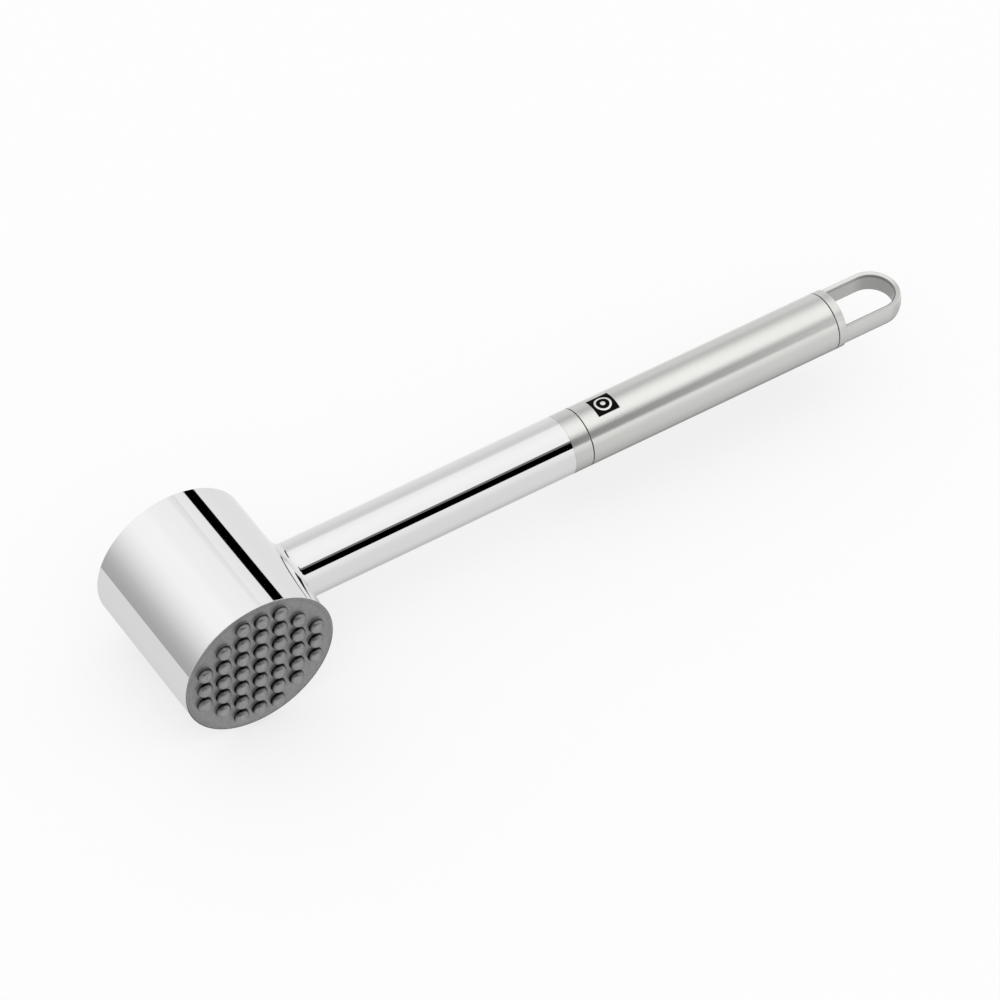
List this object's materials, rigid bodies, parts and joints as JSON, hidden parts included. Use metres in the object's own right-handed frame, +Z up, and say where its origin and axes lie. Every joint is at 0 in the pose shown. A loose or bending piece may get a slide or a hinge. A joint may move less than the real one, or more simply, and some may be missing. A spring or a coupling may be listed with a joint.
{
  "type": "meat mallet",
  "caption": "Steel meat mallet: round head with a studded and a smooth striking face, and a straight round handle with a slotted hanging loop at its tail.",
  "frame": {"origin": "centre of the smooth striking face, on the head's axis", "axes": "+X along the handle from the head towards the hanging loop, +Y out of the smooth face along the head's axis (the studded face looks along -Y), +Z up, square to the flats of the hanging loop"},
  "size_m": [0.2721, 0.0527, 0.05],
  "materials": {
    "polished_steel": "mirror-polished stainless steel",
    "satin_steel": "satin-brushed stainless steel",
    "matt_steel": "bead-blasted matt stainless steel",
    "plain_steel": "as-machined steel, hidden inside",
    "dark_seal": "thin dark sealing ring"
  },
  "bodies": {
    "root": {"head_sleeve": "polished_steel", "studded_face": "matt_steel", "smooth_face": "polished_steel", "head_core": "plain_steel", "studded_face_screw": "plain_steel", "smooth_face_screw": "plain_steel", "neck_saddle_ring": "polished_steel", "neck_tube": "polished_steel", "neck_plug": "plain_steel", "ferrule": "satin_steel", "front_seal_ring": "dark_seal", "handle_tube": "satin_steel", "rear_seal_ring": "dark_seal", "tail_loop": "satin_steel", "tie_rod": "plain_steel", "rod_lock_pin": "plain_steel"}
  },
  "joints": []
}
